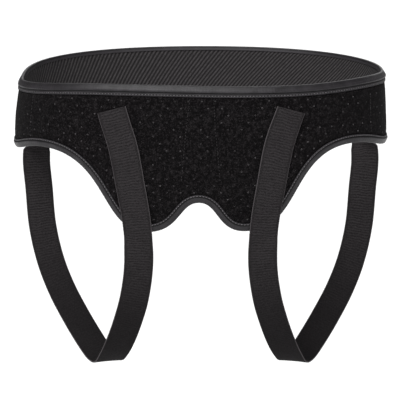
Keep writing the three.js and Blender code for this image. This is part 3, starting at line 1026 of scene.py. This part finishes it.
class BELT_OT_lining(Operator):
    """Sew the ribbed lining inside the outer wall"""

    bl_idname = "belt.lining"
    bl_label = "Lining"

    COLUMNS = 540
    ROWS = 26

    def execute(self, context):
        form = belt_form(context)
        sizes = form.sizes
        from_back = -wall_columns(form, self.COLUMNS)[:, None]
        around = form.plan.wrapped(form.plan.half - from_back)
        from_rim, from_low = form.rim(around) - EDGE_ROWS, form.lower(around) + EDGE_ROWS
        high, low = from_rim[:, -1:], from_low[:, -1:]
        middle = high + (low - high) * np.linspace(0, 1, self.ROWS)[None]
        heights = np.concatenate([from_rim[:, :-1], middle, from_low[:, -2::-1]], axis=1)
        outside = form.wall_place(around, heights, -sizes.shell - sizes.gap)
        inside = form.wall_place(around, heights, -form.wall)[:, ::-1]
        points = np.concatenate([outside, inside], axis=1)
        u = np.append(from_back[:, 0], -form.plan.half)
        lining = ring("inner_lining", points, u, np.concatenate([heights, heights[:, ::-1]], axis=1))
        material = ribbed_lining(context.scene.belt_colours, context.scene.belt_details, form)
        dress(lining, material, ["lining"])
        declare_wall(form)
        return {"FINISHED"}


class BELT_OT_bindings(Operator):
    """Fold satin tape over the rim and over the whole lower edge"""

    bl_idname = "belt.bindings"
    bl_label = "Bindings"

    COLUMNS = 1380
    FOLD = 12

    # How far the fold and the inner leg are rounded out.
    FULL = 0.25 * MM

    def execute(self, context):
        form = belt_form(context)
        for kind, edge, side, node in (
            ("rim", form.rim, 1, "top_binding"),
            ("edge", form.lower, -1, "bottom_binding"),
        ):
            widths = [getattr(form.sizes, f"{kind}_{part}") for part in ("tape", "inside", "flange")]
            tape = self.fold(context, form, f"{kind}_tape", edge, side, widths)
            material = binding_tape(f"{kind} tape", context.scene.belt_colours, widths[0], widths[2])
            dress(tape, material, [node])
        declare_wall(form)
        return {"FINISHED"}

    def fold(self, context, form, name, edge, side, widths):
        """A tape with its rolled outer leg, its fold and its plain inner leg."""
        sizes, pitch = form.sizes, context.scene.belt_details.stitch_pitch
        width, inside, flange = widths
        around = wall_columns(form, self.COLUMNS)[:, None]
        leg, short = tape_leg(width, flange), np.linspace(-inside, 0, 7)
        turn = np.linspace(0, math.pi, self.FOLD + 2)[1:-1]
        middle, half = -form.wall / 2, form.wall / 2 + sizes.gap
        outer = half + sizes.tape
        pull = np.cos(2 * math.pi * around / pitch)
        full = self.FULL * np.sin(turn)
        up = np.concatenate([leg, sizes.gap + sizes.tape_fold * np.sin(turn), short[::-1], short, leg[::-1]])
        parts = [
            middle + outer + tape_swell(leg, width, flange, pull) * unevenness(form, around),
            middle + (outer + full) * np.cos(turn),
            middle - outer - self.FULL * np.sin(math.pi * (short[::-1] + inside) / inside),
            np.full(short.size, middle - half),
            np.full(leg.size, middle + half),
        ]
        parts = [np.broadcast_to(part, (self.COLUMNS, part.shape[-1])) for part in parts]
        out = np.concatenate(parts, axis=1)
        points = form.edge_place(edge, side, around, up[None], out)
        u = np.append(around[:, 0], form.plan.half)
        return ring(name, points, u, np.broadcast_to(drawn_across(leg, short, turn), out.shape))


def unevenness(form, around):
    """How full the roll of a tape is, slowly changing along it."""
    turn = 2 * math.pi * around / form.plan.girth
    return sum((share * np.sin(waves * turn + start) for share, waves, start in ROLL_WAVES), 1)


def tape_leg(width, flange):
    """Places along the outer leg of the tape, from its sewn edge up to the fold."""
    flat = FLAT_ROWS[FLAT_ROWS < flange - 0.5 * MM]
    roll = np.linspace(flange + 1.2 * MM, width, 9)
    return -width + np.concatenate([flat, flange + GROOVE_ROWS, roll])


def tape_swell(leg, width, flange, pull):
    """The tape is rolled proud between its fold and its flat part, and drawn in along its stitches,
    where pull has a wave for each stitch."""
    run = leg + width
    sewn = -0.2 * MM * dip(run, DRAWN_IN, 0.5 * MM)[None] * (1 + 0.6 * pull)
    groove = -0.4 * MM * dip(run, flange, 0.4 * MM)
    reach = np.clip((run - flange) / (width + ROLL_PAST - flange), 0, 1)
    roll = ROLL_HEIGHT * np.sin(math.pi * reach) ** 0.8
    lip = -0.35 * MM * (1 - smooth(run, -0.05 * MM, 0.4 * MM))
    return sewn + (groove + roll + lip)[None] + 0.06 * MM * pull


def dip(run, middle, width):
    """1 at a place and soft down to 0 on both sides of it."""
    return np.exp(-(((run - middle) / width) ** 2))


def drawn_across(leg, short, turn):
    """Distances across the tape that its weave is drawn with, for each place of its section."""
    fold = np.linspace(0, FOLD_RUN, len(turn) + 2)[1:-1]
    inner = FOLD_RUN - short[::-1]
    return np.concatenate([leg, fold, inner, inner[::-1], leg[::-1]])


class BELT_OT_straps(Operator):
    """Weave the two elastic leg straps with ribs across them"""

    bl_idname = "belt.straps"
    bl_label = "Leg Straps"

    ROWS = 1500
    COLUMNS = 15

    # Shares of the thickness at the edge and next to it, the share of the depth below which the webbing
    # is painted darker as shade, and the shares between which the ribs are drawn out.
    THIN = (0.45, 0.86)
    LOW_FROM = 0.38
    DRAWN = (0.78, 0.95)

    def execute(self, context):
        form = belt_form(context)
        sizes, details = form.sizes, context.scene.belt_details
        half_width = sizes.strap_width / 2
        group = ribs_tree()
        share = np.linspace(0, 1, self.ROWS)
        line, _, _, whole = form.strap_line(share)
        low = whole * share[line[:, 2] < -self.LOW_FROM * sizes.strap_depth][[0, -1]]
        spread = np.sin(np.linspace(-math.pi / 2, math.pi / 2, self.COLUMNS))
        across = half_width * np.sign(spread) * np.abs(spread) ** 0.9
        half = np.full(self.COLUMNS, sizes.strap / 2)
        half[[0, -1]] *= self.THIN[0]
        half[[1, -2]] *= self.THIN[1]
        drawn = smooth(-line[:, 2] / sizes.strap_depth, *self.DRAWN)
        values = {
            "Rib Pitch": details.rib_pitch,
            "Rib Height": details.rib,
            "Selvage": details.selvage,
            "Half Width": half_width,
            "Material": ribbed_webbing(context.scene.belt_colours, details, half_width, low),
        }
        for name, side in SIDES:
            middle = form.strap_places(share, across, front_lift(sizes), side)
            strap = strip(f"{name}_webbing", middle, side, half, share * whole, across)
            add_values(strap, "ribbed", np.repeat(1 - 0.6 * drawn, 2 * self.COLUMNS))
            run_tree(strap, group, values)
            dress(strap, None, [f"{name}_strap"])
        return {"FINISHED"}


def front_lift(sizes):
    """Height of the webbing's middle above the front, over its hook tape."""
    return sizes.gap + sizes.hook + sizes.gap + sizes.strap / 2


class BELT_OT_hook_tapes(Operator):
    """Put the hook tape under the front end of each strap"""

    bl_idname = "belt.hook_tapes"
    bl_label = "Hook Tapes"

    ROWS = 90
    COLUMNS = 11

    def execute(self, context):
        form = belt_form(context)
        sizes = form.sizes
        material = hook_tape(context.scene.belt_colours)
        whole = form.strap_length()
        share = np.linspace(1.5 * MM, sizes.hook_length, self.ROWS) / whole
        across = np.linspace(-0.5, 0.5, self.COLUMNS) * sizes.hook_width
        half = np.full(self.COLUMNS, sizes.hook / 2)
        half[[0, -1]] *= 0.5
        for name, side in SIDES:
            middle = form.strap_places(share, across, sizes.gap + sizes.hook / 2, side)
            tape = strip(f"{name}_hook_tape", middle, side, half, share * whole, across)
            dress(tape, material, [f"{name}_hook_patch"])
        return {"FINISHED"}


class BELT_OT_stitches(Operator):
    """Sew the rows of stitches along the bindings, the seams and the straps"""

    bl_idname = "belt.stitches"
    bl_label = "Stitches"

    # How far the stitches lie sunk in the tape and the lining.
    SUNK = 0.1 * MM

    def execute(self, context):
        form, details = belt_form(context), context.scene.belt_details
        sizes, colours = form.sizes, context.scene.belt_colours
        light = sewing_thread("sewing thread", colours.thread)
        dark = sewing_thread("dark sewing thread", colours.dark_thread)
        values = {"Stitch Length": details.stitch_length, "Thread Width": details.thread}
        group = copies_tree("stitches", values, stitch_shape)

        def row(edge, side, up, out, facing):
            return self.edge_row(form, edge, side, up, out, facing, details.stitch_pitch)

        outside = sizes.gap + sizes.tape - self.SUNK
        rim = (form.rim, 1, -sizes.rim_tape + RIM_SEWN)
        low = (form.lower, -1, -sizes.edge_tape + EDGE_SEWN)
        inner_rows = [row(*rim, -form.wall - self.SUNK, -1), row(*low, -form.wall - outside, -1)]
        batches = {
            "rim_stitches": ("tape", light, [row(*rim, outside, 1)]),
            "edge_stitches": ("tape", light, [row(*low, outside, 1)]),
            "inner_stitches": ("lining", dark, inner_rows),
            "seam_stitches": ("fabric", dark, self.seams(form, details.stitch_pitch)),
        }
        for name, side in SIDES:
            rows = self.strap_rows(form, side, details.stitch_pitch)
            batches[f"{name}_strap_stitches"] = ("webbing", dark, rows)
        for name, (slot, thread, rows) in batches.items():
            points, along, away = (np.concatenate(parts) for parts in zip(*rows))
            stitches = place_points(name, points, along, away)
            run_tree(stitches, group, {**values, "Material": thread})
            dress(stitches, None)
        return {"FINISHED"}

    @staticmethod
    def edge_row(form, edge, side, up, out, facing, pitch):
        """A row along a binding, outside or inside the wall."""
        around = np.linspace(-form.plan.half, form.plan.half, EDGE_POINTS)
        line = form.edge_place(edge, side, around, up, out)
        beyond = form.edge_place(edge, side, around, up, out + facing * MM)
        return laid_row(line, beyond, pitch)

    @staticmethod
    def seams(form, pitch):
        """Two seams down the middle of the front, and one on each side of the front panel."""
        rows = []
        for high, low, bottom in SEAMS:
            top = form.sizes.rim_height - form.sizes.rim_tape - 1.5 * MM
            z = np.linspace(top, bottom * MM, SEAM_POINTS)
            around = np.interp(z, [bottom * MM, top], [low * MM, high * MM])
            above = z > form.puff_span(around)[1] + 0.8 * MM
            around, z = around[above], z[above]
            lift = form.outer_lift(around, z)
            rows.append(laid_row(form.point(around, z, lift), form.point(around, z, lift + MM), pitch))
        return rows

    @staticmethod
    def strap_rows(form, side, pitch):
        """Rows that hold the hook tape, the join below the back and the box inside the back."""
        sizes, whole = form.sizes, form.strap_length()
        near, far = 3.2 * MM, sizes.hook_length + 3 * MM
        back, join, box = whole - 3.5 * MM, whole - 76 * MM, whole - 24 * MM
        inset = sizes.strap_width / 2 - 3.4 * MM
        wide = inset + 2 * MM
        level = [(near, inset), (far, inset), (join, wide), (join - 2.2 * MM, wide)]
        level += [(back, inset), (box, inset)]
        lines = [((place, -half), (place, half)) for place, half in level]
        for begin, end in ((-1, -1), (1, 1), (-1, 1), (1, -1)):
            lines.append(((back, begin * inset), (box, end * inset)))
        step, face = 0.5 * MM, sizes.strap / 2 + 0.12 * MM
        rows = []
        for start, end in lines:
            line = np.linspace(start, end, STRAP_POINTS)
            here, ahead, beside = (
                np.stack([
                    form.strap_places(place[:1] / whole, place[1:], front_lift(sizes), side)[0, 0]
                    for place in line + more
                ])
                for more in ((0, 0), (step, 0), (0, step))
            )
            out = unit(np.cross(ahead - here, beside - here)) * side
            rows.append(laid_row(here + out * face, here + out * (face + MM), pitch))
        return rows


def laid_row(line, beyond, pitch):
    """Evenly laid stitches along a line, with beyond a little further out from the cloth: their
    places, and for each the way along the row and the way out."""
    walked = walk(line)
    count = max(1, round(walked[-1] / pitch))
    goal = (np.arange(count) + 0.5) * walked[-1] / count
    points = sample(line, walked, goal)
    along = unit(sample(line, walked, goal + 0.2 * MM) - sample(line, walked, goal - 0.2 * MM))
    away = unit(sample(beyond, walked, goal) - points)
    return points, along, away


class BELT_OT_studio(Operator):
    """Set the pale floor, the soft lights and the camera"""

    bl_idname = "belt.studio"
    bl_label = "Studio"

    def execute(self, context):
        studio = context.scene.belt_studio
        self.floor(context, studio)
        self.screen(studio)
        self.lights(context, studio)
        self.camera(context, studio)
        return {"FINISHED"}

    @staticmethod
    def floor(context, studio):
        """A wide pale floor under the belt."""
        reach = 30
        corners = reach * np.array([(-1, -1), (1, -1), (1, 1), (-1, 1)])
        places = np.column_stack([corners, np.full(len(corners), studio.floor)])
        floor = new_object("floor", places, [(0, 1, 2, 3)])
        floor.data.materials.append(studio_floor(context.scene.belt_colours))

    @staticmethod
    def screen(studio):
        """A white screen round the floor, which only the camera sees, so that the floor has no end."""
        sides, radius, height = 96, 20, 14
        turns = np.arange(sides) * 2 * math.pi / sides
        level = np.repeat([studio.floor, studio.floor + height], sides)
        around = np.tile(np.stack([np.cos(turns), np.sin(turns)], axis=-1) * radius, (2, 1))
        faces = [(k, (k + 1) % sides, (k + 1) % sides + sides, k + sides) for k in range(sides)]
        screen = new_object("screen", np.column_stack([around, level]), faces)
        screen.data.materials.append(studio_screen())
        for ray in ("diffuse", "glossy", "transmission", "volume_scatter", "shadow"):
            setattr(screen, f"visible_{ray}", False)

    @staticmethod
    def lights(context, studio):
        """Weak light from all round and three soft lamps: (name, way to it, width in degrees)."""
        world = bpy.data.worlds.new("studio light")
        world.use_nodes = True
        background = world.node_tree.nodes["Background"]
        background.inputs["Color"].default_value = (1, 1, 1, 1)
        background.inputs["Strength"].default_value = studio.sky
        context.scene.world = world
        for name, way, width, strength in (
            ("key light", (-0.3, -0.7, 1.0), 40, studio.key),
            ("fill light", (0.0, -1.0, 0.35), 45, studio.fill),
            ("back light", (0.3, 1.0, 0.9), 60, studio.back),
        ):
            lamp = bpy.data.lights.new(name, "SUN")
            lamp.angle = math.radians(width)
            lamp.energy = strength
            light = bpy.data.objects.new(name, lamp)
            x, y, z = way
            light.rotation_euler = (math.atan2(math.hypot(x, y), z), 0, math.atan2(x, -y))
            context.scene.collection.objects.link(light)

    @staticmethod
    def camera(context, studio):
        """A camera in front of the belt, a little above it."""
        lens = bpy.data.cameras.new("camera")
        lens.lens = studio.lens
        lens.sensor_width = 36
        camera = bpy.data.objects.new("camera", lens)
        back, up = math.cos(studio.elevation), math.sin(studio.elevation)
        camera.location = (studio.aim_side, -studio.distance * back, studio.aim_height + studio.distance * up)
        camera.rotation_euler = (math.pi / 2 - studio.elevation, 0, 0)
        context.scene.collection.objects.link(camera)
        context.scene.camera = camera
        context.scene.view_settings.view_transform = "Standard"


class BELT_PT_panel(Panel):
    """The belt's sizes, details and colours, and the steps that make it"""

    bl_idname = "BELT_PT_panel"
    bl_label = "Hernia Belt"
    bl_space_type = "VIEW_3D"
    bl_region_type = "UI"
    bl_category = "Belt"

    def draw(self, context):
        scene = context.scene
        for group in (scene.belt_sizes, scene.belt_details, scene.belt_colours, scene.belt_studio):
            box = self.layout.box()
            for name in group.bl_rna.properties.keys():
                if name not in ("rna_type", "name"):
                    box.prop(group, name)
        for step in STEPS:
            self.layout.operator(step.bl_idname)


STEPS = (
    BELT_OT_studio,
    BELT_OT_outer_fabric,
    BELT_OT_perforations,
    BELT_OT_lining,
    BELT_OT_bindings,
    BELT_OT_straps,
    BELT_OT_hook_tapes,
    BELT_OT_stitches,
)
GROUPS = {
    "belt_sizes": BeltSizes,
    "belt_details": BeltDetails,
    "belt_colours": BeltColours,
    "belt_studio": StudioSizes,
}
CLASSES = (*GROUPS.values(), *STEPS, BELT_PT_panel)


def register():
    for cls in CLASSES:
        bpy.utils.register_class(cls)
    for name, group in GROUPS.items():
        setattr(bpy.types.Scene, name, PointerProperty(type=group))


def unregister():
    for name in GROUPS:
        delattr(bpy.types.Scene, name)
    for cls in reversed(CLASSES):
        bpy.utils.unregister_class(cls)


def main():
    register()
    bpy.ops.belt.studio()
    bpy.ops.belt.outer_fabric()
    bpy.ops.belt.perforations()
    bpy.ops.belt.lining()
    bpy.ops.belt.bindings()
    bpy.ops.belt.straps()
    bpy.ops.belt.hook_tapes()
    bpy.ops.belt.stitches()


if __name__ == "__main__":
    main()
